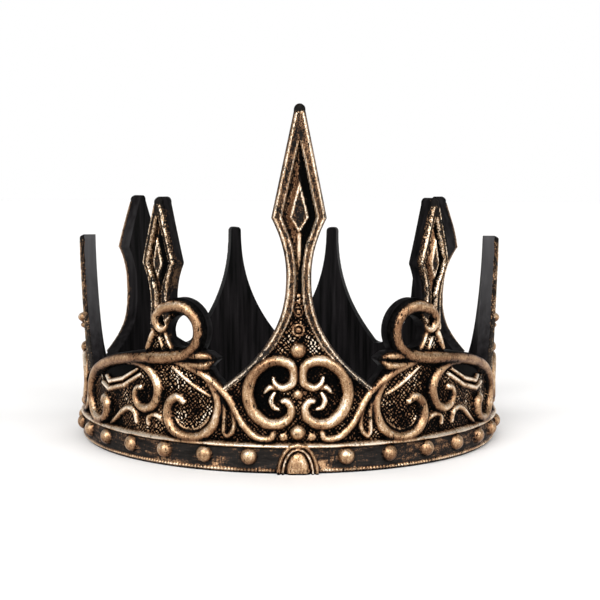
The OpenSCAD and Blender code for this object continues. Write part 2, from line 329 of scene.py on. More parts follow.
def scroll(angle, path, mirror=1, fullness=1.1, smooth=True):
    """A rounded tendril on the sheet; it stands higher where it is wider."""
    p = smooth_path(path) if smooth else np.array(path, float)
    p[:, 0] *= mirror
    low, high = p.min(0) - SCROLL_MARGIN, p.max(0) + SCROLL_MARGIN
    cols, arc = near(angle, np.abs(p[:, 0]).max() + SCROLL_MARGIN)
    kept = (arc > low[0]) & (arc < high[0])
    cols, arc = cols[kept], arc[kept]
    picked = (above_band > low[1]) & (above_band < high[1])
    x, z = np.broadcast_arrays(arc[:, None], above_band[picked][None, :])
    best = np.full(x.shape, 9.0)
    lift = np.full(x.shape, NOWHERE)
    for (ax, az, aw), (bx, bz, bw) in zip(p, p[1:]):
        dx, dz = bx - ax, bz - az
        share = np.clip(((x - ax) * dx + (z - az) * dz) / (dx * dx + dz * dz + 1e-9), 0, 1)
        half = aw + (bw - aw) * share
        off = np.hypot(x - ax - share * dx, z - az - share * dz) / half
        closer = off < best
        best = np.where(closer, off, best)
        lift = np.where(closer, half * fullness, lift)
    rounded = np.clip(1 - best ** 2, 0, 1) ** SCROLL_ROUND
    raise_to(cols, picked, np.where(best < 1, lift * rounded, NOWHERE))


def heart(angle, share=1.0):
    """A heart of two C scrolls, with its sunk ground, its beads and the flourishes at its foot."""
    outline = smooth_path(shrunk(HEART[2:-1], share), 4)
    for mirror in (-1, 1):
        cols, arc = near(angle, HEART_REACH)
        sunk = outside_polygon(arc, above_band, [(mirror * x, z) for x, z, half in outline]) < -HEART_INSET
        sunk_pebbles[cols] = np.where(sunk, HEART_PEBBLES, sunk_pebbles[cols])
        relief[cols] = np.where(sunk & (relief[cols] < UNCARVED), HEART_SUNK, relief[cols])
    for mirror in (-1, 1):
        for path in (HEART, SPRIG, THORN, FLOURISH):
            scroll(angle, shrunk(path, share), mirror)
        bead(angle, mirror * FOOT_BEAD_AT[0] * share, BAND_H + FOOT_BEAD_AT[1] * share, FOOT_BEAD_R * share,
             fullness=FOOT_BEAD_FULLNESS)
    for up, radius in HEART_BEADS:
        bead(angle, 0, BAND_H + up * share, radius * share ** 0.5, fullness=1)


heart(0)
for side in (-1, 1):
    heart(side * REAR_SPEAR_ANGLE, REAR_HEART)
    for angle in SPIRE_ANGLES:
        heart(side * angle, SPIRE_HEART)

# The vine panels: at each side spear a vine climbs the shoulder of the wall and winds into the open loop.
# Smaller scrolls, arches, petals and a leaf fill the panel round it, modelled and cast as the hearts are.
VINE = [(-42.6, 10.2, 1.9), (-39.8, 11.6, 2.6), (-37.4, 9.2, 2.9), (-37.8, 5.4, 2.8), (-41.4, 1.8, 2.7),
        (-47.4, 0.6, 2.6), (-53.4, 3, 2.7), (-57, 9.5, 2.8), (-56.6, 16.2, 2.8), (-51.6, 22.4, 2.8),
        (-42, 27.3, 2.8), (-30, 30.6, 2.8), (-16, 32.8, 3), (-3, 33.7, 3.1), (8.8, 35.2, 3.1),
        (14.6, 37.3, 3.1), (18.2, 41, 3.2), (19.6, 46, 3.3), (18.5, 51.4, 3.3), (14.7, 55.6, 3.2),
        (8.9, 57, 3.1), (2.8, 55.7, 2.9), (-1.4, 52.7, 2.5), (-2.3, 49.4, 2.3), (-0.4, 46.7, 2),
        (2.4, 46.7, 1.6), (4.2, 48.6, 1.1)]
INNER_SCROLL = [(-20, 30.4, 1.6), (-13, 30.6, 2), (-6.6, 28.2, 2.3), (-2.4, 23.8, 2.5), (-1.4, 18.4, 2.6),
                (-3.8, 13.2, 2.5), (-8.4, 10.9, 2.3), (-13.2, 11.9, 2.1), (-15.5, 15.4, 1.9),
                (-14.6, 18.8, 1.9), (-12, 20, 1.6)]
STEM = [(6, 33.6, 1.6), (13, 31.9, 2), (19.4, 29.5, 2.2), (25.3, 25.9, 2.2), (29.2, 22.8, 2.1)]
LOBE = [(23.5, 26.4, 1.6), (26.6, 22.4, 2.1), (28.3, 17.6, 2.2), (28.3, 12.6, 2.2), (25.8, 6.2, 2.5),
        (20.8, 1.8, 2.8), (15, 0.6, 2.9), (8, 2.6, 2.8), (3.9, 8, 2.6), (4.7, 14.4, 2.5), (8.6, 17.5, 2.3),
        (12, 15.9, 1.7)]
LOBE_RIDGE = [(24.9, 12, 0.5), (23, 8, 0.8), (19.4, 5, 0.9), (15.2, 4, 0.9), (10.6, 5.2, 0.9),
              (7.6, 8.6, 0.7)]
PETALS = [[(29, 21, 0.8), (30.3, 17.3, 1.2), (30.9, 13.9, 1.3), (31.1, 9.6, 1.3), (30.9, 4.6, 1.2),
           (31.9, 2.5, 1.2)],
          [(30.4, 20.6, 0.8), (32.6, 17.3, 1.1), (34.3, 14, 1.2), (35.4, 10.6, 1.3), (35.6, 7.4, 1.3),
           (34.5, 4.1, 1.4), (32.3, 2.3, 1.3)]]
LOW_ARCH = [(-34, 1, 1.3), (-29, 4.6, 1.5), (-24.4, 8, 1.6), (-19.6, 9.8, 1.6), (-15.9, 8.2, 1.6),
            (-14.8, 4.4, 1.4)]
SMALL_ARCH = [(-7.4, 4.4, 1.3), (-7.2, 7.2, 1.4), (-4.2, 8.8, 1.4), (-0.4, 7.8, 1.4), (2.6, 5.6, 1.2)]
LEAF = [[(9, 34.6, 1.4), (16.6, 36, 2.4), (22.6, 36.3, 2.4), (27.8, 35, 1)],
        [(27.8, 34.9, 1), (24, 32.5, 2.4), (19.4, 31.7, 2.4), (13, 32.2, 1.8)]]
BLADE = [(6.4, 30.4, 0.7), (12.4, 26.2, 1), (19.1, 22, 1), (25.6, 18.8, 0.7)]
FEATHERS = [[(-3.4, 46.6, 1.2), (-5.4, 42.4, 1.6), (-7.4, 37.8, 1.7)],
            [(-1, 42.6, 0.7), (0.4, 40, 1), (1.4, 37.6, 1.1)],
            [(2.4, 45.6, 1), (4.2, 42, 1.4), (6.4, 37.8, 1.4)]]
# The chevron tucked under the vine: two straight ridges with a sharp corner, on a sunk black field.
CHEVRONS = [[(-39.6, 21.8, 0.9), (-36.2, 19.6, 1.2), (-25, 22.2, 1.2), (-14.8, 27.4, 0.9)],
            [(-43.4, 18.2, 1.1), (-36.2, 16.2, 1.5), (-23.4, 19.5, 1.5), (-12.6, 25.4, 1.1)]]
CHEVRON_FIELD = [(-46, 21.5), (-37, 16), (-12, 26.4), (-22, 31), (-34, 28)]
CHEVRON_SUNK = -0.8
tendrils = [VINE, INNER_SCROLL, STEM, LOBE, LOBE_RIDGE, LOW_ARCH, SMALL_ARCH, BLADE]
tendrils += PETALS + LEAF + FEATHERS
for side in (-1, 1):
    cols, arc = near(side * SPEAR_ANGLE, POINT_REACH)
    sunk = outside_polygon(-side * arc, above_band, CHEVRON_FIELD) < 0
    relief[cols] = np.where(sunk, CHEVRON_SUNK, relief[cols])
    for path in tendrils:
        scroll(side * SPEAR_ANGLE, path, -side)
    for path in CHEVRONS:
        scroll(side * SPEAR_ANGLE, path, -side, smooth=False)

# The rims and lozenges: along both edges of every point runs a flat rim between two fine raised lines, and
# in the hollow of each spear's head stands a faceted lozenge. They are crisp in the casting, and the brush
# was dabbed on their flat faces, more on the left of a spear's head than on the right. On the lozenge this
# left and right difference is painted light and shade: its left facets painted lit, its right ones in shade.
RIM_FROM = 21.0
RIM_REACH = 45
RIM_RISE = 1.5
RIM_LAP = 0.4
RIM_LIP = 0.3
RIM_BEVEL = 1.5
HOLLOW_BEVEL = 0.7
LINE_RISE = 0.3
LINE_W = 0.44
EDGE_LINE_IN = 1.2
HOLLOW_LINE_IN = 0.4
TIP_BARE = 2.5
TIP_FADE = 2
RIM_COAT = 0.34
COAT_THINS_BELOW = 26
COAT_THINS_OVER = 24
THINNEST_COAT = 0.3
HOLLOW_SUNK = -0.6
HOLLOW_BELOW = 17
LEFT_HOLLOW_COAT = 0.28
RIGHT_HOLLOW_COAT = 0.0
LOZENGE_RISE = 1.7
LOZENGE_LINE_IN = 0.2
LOZENGE_LINE_W = 0.4
LOZENGE_TOP_COAT = 0.26
PAINTED_LIT_FACET_COAT = 0.55
PAINTED_SHADED_FACET_COAT = 0.06
SAME_RELIEF = 0.02
edge_line = np.zeros((columns, rows))
flat_coat = np.zeros((columns, rows))


def in_lozenge(off, h, widest, top, bottom, half):
    """Share of the way in from a lozenge's outline to its middle, negative outside it."""
    up = np.where(h > widest, (h - widest) / (top - widest), (widest - h) / (widest - bottom))
    return 1 - off / half - up


def carve_point(angle, edge, hollow_edge, tip, kite=None, right_edge=None, line_share=1.0, coat_share=1.0):
    """Rims along both edges of a point, and the lozenge in its head."""
    cols, arc = near(angle, RIM_REACH)
    picked = (above_band > RIM_FROM) & (above_band < tip)
    place = np.ix_(cols, np.flatnonzero(picked))
    h = above_band[picked][None, :]
    off = np.abs(arc)[:, None]
    on_left = arc[:, None] < 0
    width = edge[picked][None, :]
    if right_edge is not None:
        width = np.where(arc[:, None] > 0, right_edge[picked][None, :], width)
    hollow = np.interp(above_band[picked], *zip(*hollow_edge))[None, :]
    in_from_cut = from_edge[place]
    on_rim = (off < width + RIM_LAP) & (off > hollow)
    below_tip = np.clip((tip - TIP_BARE - h) / TIP_FADE, 0, 1)
    hollow_line = np.exp(-((off - hollow - HOLLOW_LINE_IN) / LINE_W) ** 2) * (hollow > 0)
    cut_line = np.exp(-((in_from_cut - EDGE_LINE_IN) / LINE_W) ** 2)
    line = np.maximum(cut_line, hollow_line) * below_tip * line_share
    bevel = np.minimum((off - hollow) / HOLLOW_BEVEL, (in_from_cut + RIM_LIP) / RIM_BEVEL)
    rim = np.where(on_rim, RIM_RISE * np.clip(bevel, 0, 1) + LINE_RISE * line, NOWHERE)
    raise_to(cols, picked, rim)
    is_rim = on_rim & (np.abs(relief[place] - rim) < SAME_RELIEF)
    thinned_coat = np.clip((h - COAT_THINS_BELOW) / COAT_THINS_OVER, THINNEST_COAT, 1)
    flat_faced[place] = np.where(is_rim, 1, flat_faced[place])
    edge_line[place] = np.where(is_rim, line, edge_line[place])
    flat_coat[place] = RIM_COAT * thinned_coat * below_tip * coat_share
    if kite:
        widest, top, bottom, half, flat_top, flat_bottom, flat_half = kite
        sunk = (off < hollow) & (h > bottom - HOLLOW_BELOW) & (relief[place] < UNCARVED)
        relief[place] = np.where(sunk, HOLLOW_SUNK, relief[place])
        foot = in_lozenge(off, h, widest, top, bottom, half)
        flat = in_lozenge(off, h, widest, flat_top, flat_bottom, flat_half)
        slope = np.clip(foot / np.maximum(foot - flat, 1e-6), 0, 1)
        line = np.exp(-((flat * flat_half - LOZENGE_LINE_IN) / LOZENGE_LINE_W) ** 2)
        lift = HOLLOW_SUNK + LOZENGE_RISE * np.where(flat > 0, 1, slope) + LINE_RISE * line
        raise_to(cols, picked, np.where(foot > 0, lift, NOWHERE))
        # Painted light and shade: the lozenge's left facets are lit, its right facets in shade.
        facet_painted_light = np.where(on_left, PAINTED_LIT_FACET_COAT, PAINTED_SHADED_FACET_COAT)
        lozenge_coat_and_light = np.where(flat > 0, LOZENGE_TOP_COAT, facet_painted_light)
        hollow_coat = np.where(on_left, LEFT_HOLLOW_COAT, RIGHT_HOLLOW_COAT)
        flat_coat[place] = np.where(sunk, np.where(foot > 0, lozenge_coat_and_light, hollow_coat), flat_coat[place])
        flat_faced[place] = np.where(sunk, 1, flat_faced[place])
        edge_line[place] = np.where(sunk & (foot > 0), line, edge_line[place])


# A hollow's edge is height above the band and half width. A kite is the height of a lozenge's widest place,
# its top, bottom and half width, and then the top, bottom and half width of the flat on it.
FRONT_HOLLOW = [(22, 30.6), (25, 26.6), (30, 20.4), (35, 15), (40.8, 9.8), (44.8, 7.4), (49.8, 4.8),
                (54.8, 2.8), (59.8, 1.7), (64.8, 1.3), (69.8, 1.2), (74.8, 1.4), (79.8, 2), (84.8, 3.1),
                (89.8, 5), (95.2, 7.1), (126.5, 0.1), (128, -2), (142, -2)]
FRONT_KITE = (95.3, 124, 80, 5.2, 109.5, 89.5, 3.6)
FRONT_RIDGE = [(0, 88.5, 0.9), (0, 82, 0.9), (0, 74, 0.5)]
RIDGE_FULLNESS = 1.3
NECK_RINGS = ((48.2, 2.3), (56, 1.8))
RING_W = 0.65
RING_BEAD = 0.55
NECK_BEADS = ((60.4, 0.9), (62.8, 0.8))
SIDE_HOLLOW = [(36, 9), (44, 4.6), (50, 2.2), (56, 1), (62, 1), (67, 2.4), (71, 4), (75, 5.6), (95, 0.1),
               (96.5, -2), (104, -2)]
SIDE_KITE = (75, 92, 60, 3.4, 85.5, 69, 2.2)
SIDE_RIM_FROM = 46
SIDE_LINES = 0.8
SIDE_COAT = 0.45
REAR_HOLLOW = [(22, 23), (25, 18), (28, 14), (32, 10), (37, 7), (42, 5.2), (50, 3.8), (58, 3.6), (64, 4.4),
               (70, 7.4), (75, 10.2), (94, 0.1), (95.5, -2), (104, -2)]
REAR_KITE = (75, 91, 60, 6, 85.5, 69, 4.2)
SPIRE_HOLLOW = [(25, 19.8), (30, 15.4), (36, 11.4), (44, 7.3), (52, 4.3), (60, 2.4), (68, 1.2), (77, 0.1),
                (78.5, -2), (84, -2)]
SPIRE_LINES = 0.5
SPIRE_COAT = 0.6
SPIRE_BEADS = ((44, 2.7, 1.5), (40.2, 1.7, 1.7))

carve_point(0, front_edge, FRONT_HOLLOW, FRONT_TIP, FRONT_KITE)
scroll(0, FRONT_RIDGE, fullness=RIDGE_FULLNESS)
for up, radius in NECK_RINGS:
    turns = np.radians(range(0, 361, 30))
    scroll(0, [(radius * math.cos(t), up + radius * math.sin(t), RING_W) for t in turns])
    bead(0, 0, BAND_H + up, radius * RING_BEAD)
for up, radius in NECK_BEADS:
    bead(0, 0, BAND_H + up, radius)
side_rim_edge = np.where(above_band > SIDE_RIM_FROM, side_edge, NOWHERE)
for side in (-1, 1):
    rear_left, rear_right = (rear_edge, rear_edge_behind)[::side]
    carve_point(side * REAR_SPEAR_ANGLE, rear_left, REAR_HOLLOW, REAR_TIP, REAR_KITE, rear_right)
    carve_point(side * SPEAR_ANGLE, side_rim_edge, SIDE_HOLLOW, SIDE_TIP, SIDE_KITE, line_share=SIDE_LINES,
                coat_share=SIDE_COAT)
    for angle in SPIRE_ANGLES:
        carve_point(side * angle, spire_edge, SPIRE_HOLLOW, SPIRE_TIP, line_share=SPIRE_LINES,
                    coat_share=SPIRE_COAT)
        for up, radius, fullness in SPIRE_BEADS:
            bead(side * angle, 0, BAND_H + up, radius, fullness=fullness)

# The dry-brushed coat: bronze acrylic dragged over the black casting with a nearly dry brush, so that it
# stays on what stands proud and misses the creases. What each place holds is worked out from how far it
# stands above its surroundings, and goes with the sheet as a value at every point of the skin.
WIDE_MM = 2.6
FINE_MM = 0.9
SLOPE_MM = 0.45
SLOPE_SHARE = 0.8
SOFTEN_MM = 0.4
FULL_FROM = 0.1
GROUND_TOP = 0.15
BAND_EVEN = 0.1


def blurred(sheet, size):
    """The sheet averaged over a round neighbourhood of the given size in millimetres."""
    reach = int(2.5 * size / SHEET_STEP)
    taps = np.exp(-0.5 * (np.arange(-reach, reach + 1) * SHEET_STEP / size) ** 2)
    taps /= taps.sum()
    across = sum(w * np.roll(sheet, k - reach, axis=0) for k, w in enumerate(taps))
    padded = np.pad(across, ((0, 0), (reach, reach)), mode="edge")
    return sum(w * padded[:, k:k + sheet.shape[1]] for k, w in enumerate(taps))


solid = (beyond < 0).astype(float)
proud_wide = relief - blurred(relief * solid, WIDE_MM) / (blurred(solid, WIDE_MM) + 1e-3)
proud_fine = relief - blurred(relief * solid, FINE_MM) / (blurred(solid, FINE_MM) + 1e-3)
facing_up = np.clip(-SLOPE_SHARE * np.gradient(blurred(relief, SLOPE_MM), height[1], axis=1), -1, 1)
on_flat = (flat_faced > 0) & (fully_painted < FULL_FROM)
on_ground = (relief < GROUND_TOP) & (flat_faced == 0)
band_face = in_band[None, :] & (np.abs(relief - BAND_OUT) < BAND_EVEN)

# How much bronze holds: on rounded work, on the fine lines, on the ground, the band and the cut edges.
ROUND_COAT = 0.4
PROUD_COAT = 0.5
PAINTED_TOP_LIGHT_COAT = 0.16
LINE_COAT = 0.6
GROUND_COAT = 0.1
BAND_COAT = 0.29
EDGE_COAT = 0.12
EDGE_COAT_MM = 0.6
BARE_BASE = 0.5
# Painted light and shade: faces turned up are given more bronze and faces turned down less.
bronze = ROUND_COAT + PROUD_COAT * proud_wide + PROUD_COAT * proud_fine + PAINTED_TOP_LIGHT_COAT * facing_up
bronze = np.where(on_flat, flat_coat + LINE_COAT * edge_line, bronze)
bronze = np.clip(np.where(on_ground, np.minimum(bronze, GROUND_COAT), bronze), 0, 1)
bronze = np.where(band_face, BAND_COAT, bronze)
bronze = np.maximum(bronze, fully_painted)
bronze += EDGE_COAT * np.exp(-np.maximum(from_edge, 0) / EDGE_COAT_MM) * (height > BAND_H)[None, :]
bronze *= np.clip((height - BARE_BASE) / BARE_BASE, 0, 1)[None, :]

# How light it is: painted highlights make it lightest on crests and on faces turned up,
# and painted shade darkens faces turned down.
ROUND_TONE = 0.39
PAINTED_TOP_LIGHT = 0.2
PAINTED_CREST_HIGHLIGHT = 0.95
PROUD_TONE = 0.07
BEAD_TONE = 0.4
BEAD_PAINTED_HIGHLIGHT = 0.31
BEAD_PAINTED_TOP_LIGHT = 0.14
FLAT_TONE = 0.45
LINE_TONE = 0.6
FLAT_PAINTED_TOP_LIGHT = 0.1
BAND_TONE = 0.44
# Painted highlight on crests and faces turned up, painted shade on faces turned down.
crest_highlight = PAINTED_CREST_HIGHLIGHT * np.clip(proud_fine, -0.5, 0.5)
tone_and_light = np.clip(ROUND_TONE + PAINTED_TOP_LIGHT * facing_up + crest_highlight + PROUD_TONE * np.clip(proud_wide, -1, 2), 0, 1)
# Beads and studs: a painted highlight on the middle and top, painted shade at the rim and underside.
bead_tone_and_light = np.clip(BEAD_TONE + BEAD_PAINTED_HIGHLIGHT * fully_painted + BEAD_PAINTED_TOP_LIGHT * facing_up, 0, 1)
tone_and_light = np.where(fully_painted > 0.05, bead_tone_and_light, tone_and_light)
# Flat rims: a painted highlight on faces turned up.
tone_and_light = np.where(on_flat, FLAT_TONE + LINE_TONE * edge_line + FLAT_PAINTED_TOP_LIGHT * facing_up, tone_and_light)
tone_and_light = np.where(band_face, BAND_TONE, tone_and_light)

# Where the black shows a painted sheen, a grey for the lamps' light on the band face, flat rims and raised
# work; where the brush dabbed; and where the ground is pebbled or beaded.
BAND_PAINTED_SHEEN = 0.62
ROUND_PAINTED_SHEEN = 0.15
FLAT_SHEEN_TOP = 60
FLAT_SHEEN_OVER = 30
FLAT_PAINTED_SHEEN = (0.4, 0.9)
RAISED = 0.3
RIM_RAISED = 0.5
SCROLL_RAISED = 0.6
GROUND_EVEN = 0.12
PEBBLES_IN = 1
NEAR_SCROLLS_MM = 1.5
SHOWN = 1.2
LEAST_PEBBLES = 0.45
flat_painted_sheen = np.clip((FLAT_SHEEN_TOP - above_band) / FLAT_SHEEN_OVER, *FLAT_PAINTED_SHEEN)[None, :]
# Painted sheen: the black is given a lighter grey on the band face, the flat rims and raised work.
painted_sheen = np.where(band_face, BAND_PAINTED_SHEEN, ROUND_PAINTED_SHEEN * (relief > RAISED))
painted_sheen = np.where(on_flat & (relief > RIM_RAISED), flat_painted_sheen, painted_sheen)
stippled = blurred(on_flat.astype(float), SOFTEN_MM)
plain_ground = (np.abs(relief) < GROUND_EVEN) & (from_edge > PEBBLES_IN)
pebble = np.where(plain_ground, 1.0, sunk_pebbles * (relief < 0)) * (flat_faced == 0)
# Fewer pebble tops are bright close to the tall scrolls.
near_tall_scrolls = blurred((relief > SCROLL_RAISED).astype(float), NEAR_SCROLLS_MM)
pebble = blurred(pebble, SOFTEN_MM) * np.clip(SHOWN - near_tall_scrolls, LEAST_PEBBLES, 1)
milled = np.repeat(np.clip(1 - np.abs(height - TRIM_AT) / TRIM_W, 0, 1)[None, :], columns, 0)

# The brush also went over the cut edge of the left side spear, from above its loop to its tip.
DUSTED_REACH = 14
DUSTED_FROM = 54
DUSTED_FULL = 10
DUSTED_THINS_TO = 96
DUSTED_THINS_OVER = 20
THINNEST_DUST = 0.4
cols, arc = near(-SPEAR_ANGLE, DUSTED_REACH)
dusted = np.zeros((columns, rows))
dusted[cols] = (np.clip((above_band - DUSTED_FROM) / DUSTED_FULL, 0, 1)
                * np.clip((DUSTED_THINS_TO - above_band) / DUSTED_THINS_OVER, THINNEST_DUST, 1))[None, :]

# The skin: the sheet rolled up into one closed skin. The outer face follows the relief and rounds over at
# every cut edge, the edges go straight back through the wall, and the inside is smooth. The points lean out
# a little, and the right rear spear is bent out further, as soft foam takes a set.
GROUND_R = 99.0
INSIDE_R = 93.0
EDGE_ROUND = 1.2
LEAN = 1.6
LEANS_FROM = 45
LEANS_OVER = 55
BENT = 5.0
BENT_REACH = 20
BENT_FADE = 4
SNAP = 0.34
EDGE_ROWS = (4.4, 2.4, 0.5)
SKIN_FACES = 190000
SHARP_ANGLE = 50
FACE_DEPTH = 2.6

up_share = np.clip((height - LEANS_FROM) / LEANS_OVER, 0, 1)
bow = up_share ** 2 * (3 - 2 * up_share)
lean = np.repeat(LEAN * bow[None, :], columns, 0)
cols, arc = near(REAR_SPEAR_ANGLE, BENT_REACH)
lean[cols] += BENT * np.outer(np.clip((BENT_REACH - np.abs(arc)) / BENT_FADE, 0, 1), bow ** 2)
tilt = np.clip((EDGE_ROUND - from_edge) / EDGE_ROUND, 0, 1)
radius_out = GROUND_R + lean + relief - EDGE_ROUND * (1 - np.sqrt(1 - tilt ** 2))

# Corners of the sheet that lie close to the cut line are moved onto it, so no sliver faces are left.
step_x = round_length / columns
step_z = height[1] - height[0]
nearest = np.full(beyond.shape, SNAP)
move_x = np.zeros(beyond.shape)
move_z = np.zeros(beyond.shape)
for di, dj in ((1, 0), (-1, 0), (0, 1), (0, -1), (1, 1), (-1, -1), (1, -1), (-1, 1)):
    neighbour = np.roll(beyond, (-di, -dj), (0, 1))
    crosses = (beyond < 0) != (neighbour < 0)
    if dj == 1:
        crosses[:, -1] = False
    if dj == -1:
        crosses[:, 0] = False
    share = np.where(crosses, beyond / np.where(crosses, beyond - neighbour, 1), 9)
    closer = share < nearest
    nearest = np.where(closer, share, nearest)
    move_x = np.where(closer, share * di * step_x, move_x)
    move_z = np.where(closer, share * dj * step_z, move_z)
along = (np.arange(columns) / columns - 0.5) * round_length
sheet_x = list((np.repeat(along[:, None], rows, 1) + move_x).ravel())
sheet_z = list((np.repeat(height[None, :], columns, 0) + move_z).ravel())
level = np.where(nearest < SNAP, 0, beyond).ravel()

# The sheet is cut into triangles, and those across the cut line are trimmed to it.
number = np.arange(columns * rows).reshape(columns, rows)
a = number[:, :-1]
b = np.roll(number, -1, 0)[:, :-1]
c = np.roll(number, -1, 0)[:, 1:]
d = number[:, 1:]
odd = (np.add.outer(np.arange(columns), np.arange(rows - 1)) % 2).astype(bool)
triangles = np.vstack([np.stack([a, b, c], -1)[odd], np.stack([a, c, d], -1)[odd],
                       np.stack([a, b, d], -1)[~odd], np.stack([b, c, d], -1)[~odd]])
sign = np.sign(level)[triangles]
whole = (sign <= 0).all(1) & (sign < 0).any(1)
mixed = (sign < 0).any(1) & (sign > 0).any(1)
cut_points = {}


def cut_point(inner, outer):
    """Number of the point where a side of a triangle crosses the cut line."""
    key = (inner, outer)
    if key not in cut_points:
        share = level[inner] / (level[inner] - level[outer])
        gap = sheet_x[outer] - sheet_x[inner]
        gap -= round_length * round(gap / round_length)
        cut_points[key] = len(sheet_x)
        sheet_x.append(sheet_x[inner] + share * gap)
        sheet_z.append(sheet_z[inner] + share * (sheet_z[outer] - sheet_z[inner]))
    return cut_points[key]


trimmed = []
for corners in triangles[mixed].tolist():
    outline = []
    for k in range(3):
        p, q = corners[k], corners[(k + 1) % 3]
        if level[p] <= 0:
            outline.append(p)
        if level[p] * level[q] < 0:
            outline.append(cut_point(p, q) if level[p] < 0 else cut_point(q, p))
    trimmed += [[outline[0], outline[k], outline[k + 1]] for k in range(1, len(outline) - 1)]
used, faces = np.unique(np.vstack([triangles[whole], np.array(trimmed, int)]), return_inverse=True)
faces = faces.reshape(-1, 3)
sheet_x = np.array(sheet_x)[used]
sheet_z = np.array(sheet_z)[used]


def sampled(sheet, x, z):
    """Value of a sheet at places between its corners."""
    fx = (x / round_length + 0.5) * columns
    fz = np.clip(z / step_z, 0, rows - 1.001)
    i = np.floor(fx).astype(int)
    j = np.floor(fz).astype(int)
    tx, tz = fx - i, fz - j
    i, after = i % columns, (i + 1) % columns
    low = sheet[i, j] * (1 - tx) + sheet[after, j] * tx
    high = sheet[i, j + 1] * (1 - tx) + sheet[after, j + 1] * tx
    return low * (1 - tz) + high * tz


def rolled(x, z, radius):
    """Places on the sheet rolled up to a radius, in metres."""
    angle = x / WALL_R
    return np.stack([radius * np.sin(angle), -radius * np.cos(angle), z], -1) / 1000


# The cut edge is the sides that only one triangle has. Rows of faces join it to the inside.
sides = np.vstack([faces[:, [0, 1]], faces[:, [1, 2]], faces[:, [2, 0]]])
one_way = sides[:, 0] * len(used) + sides[:, 1]
other_way = sides[:, 1] * len(used) + sides[:, 0]
cut_sides = sides[~np.isin(one_way, other_way)]
cut_corners = np.unique(cut_sides)
cut_order = np.zeros(len(used), int)
cut_order[cut_corners] = np.arange(len(cut_corners))
cut_x = sheet_x[cut_corners]
cut_z = sheet_z[cut_corners]
layers = [rolled(sheet_x, sheet_z, sampled(radius_out, sheet_x, sheet_z))]
loops = [cut_sides]
for out in EDGE_ROWS:
    loops.append(cut_order[cut_sides] + sum(map(len, layers)))
    layers.append(rolled(cut_x, cut_z, INSIDE_R + out + sampled(lean, cut_x, cut_z)))
inside_from = sum(map(len, layers))
loops.append(cut_sides + inside_from)
layers.append(rolled(sheet_x, sheet_z, INSIDE_R + sampled(lean, sheet_x, sheet_z)))
edge_faces = []
for outer, inner in zip(loops, loops[1:]):
    edge_faces.append(np.stack([outer[:, 1], outer[:, 0], inner[:, 0]], -1))
    edge_faces.append(np.stack([outer[:, 1], inner[:, 0], inner[:, 1]], -1))
all_faces = np.vstack([faces] + edge_faces + [faces[:, ::-1] + inside_from])

skin = bpy.data.meshes.new("crown_skin")
skin.from_pydata(np.vstack(layers).tolist(), [], all_faces.tolist())
bronzed = bpy.data.materials.new("dry_brushed_bronze_on_black_foam")
bare = bpy.data.materials.new("bare_black_foam_skin")
skin.materials.append(bronzed)
skin.materials.append(bare)
skin.polygons.foreach_set("material_index", (np.arange(len(all_faces)) >= len(faces)).astype(int))
crown = bpy.data.objects.new("crown_skin", skin)
bpy.context.scene.collection.objects.link(crown)

# Flat places need few faces and carved ones many, so the skin is thinned where it is smooth.
thin = crown.modifiers.new("thin", "DECIMATE")
thin.ratio = SKIN_FACES / len(all_faces)
thinned = bpy.data.meshes.new_from_object(crown.evaluated_get(bpy.context.evaluated_depsgraph_get()))
crown.modifiers.clear()
crown.data = thinned
thinned.name = "crown_skin"
thinned.polygons.foreach_set("use_smooth", [True] * len(thinned.polygons))
thinned.set_sharp_from_angle(angle=math.radians(SHARP_ANGLE))

# The coat's values fade out behind the outer face, but for the dust on a cut edge.
corner_at = np.empty(len(thinned.vertices) * 3)
thinned.vertices.foreach_get("co", corner_at)
corner_at = corner_at.reshape(-1, 3) * 1000
corner_x = np.arctan2(corner_at[:, 0], -corner_at[:, 1]) * WALL_R
corner_z = corner_at[:, 2]
behind_face = sampled(radius_out, corner_x, corner_z) - np.hypot(corner_at[:, 0], corner_at[:, 1])
on_face = np.clip(1 - behind_face / FACE_DEPTH, 0, 1)
for label, sheet, share in (("bronze", bronze, on_face), ("tone_and_light", tone_and_light, on_face),
                            ("pebble", pebble, on_face), ("milled", milled, on_face),
                            ("painted_sheen", painted_sheen, on_face), ("stippled", stippled, on_face),
                            ("dusted", dusted, 1)):
    values = thinned.attributes.new(label, "FLOAT", "POINT")
    values.data.foreach_set("value", sampled(sheet, corner_x, corner_z) * share)

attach(crown, "root")
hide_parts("crown")

# Bronzed foam, on the outer face: black polyurethane foam with a moulded skin, and antique bronze acrylic
# dry-brushed over it. The black is a soft satin, with a painted sheen on its flat faces. The bronze is a
# fine metallic flake that glints on crests, where it also has a painted highlight, goes brown where it is
# thin, with its own uneven tone and with painted shade on faces turned down, and breaks up at its edge into
# drags, flecks and grain.
PER_M = 1000
PEBBLE_MM = 2.1
PEBBLE_STRAY_MM = 3.0
PEBBLE_STRAY_M = 0.0034
PEBBLE_TOP = 0.6
PEBBLE_HEIGHT_M = 0.0006
MILLING_MM = 1.5
MILLING_COAT = 0.45
MILLING_LIFT = 0.5
PATCH_MM = 13
FLECK_MM = 1.3
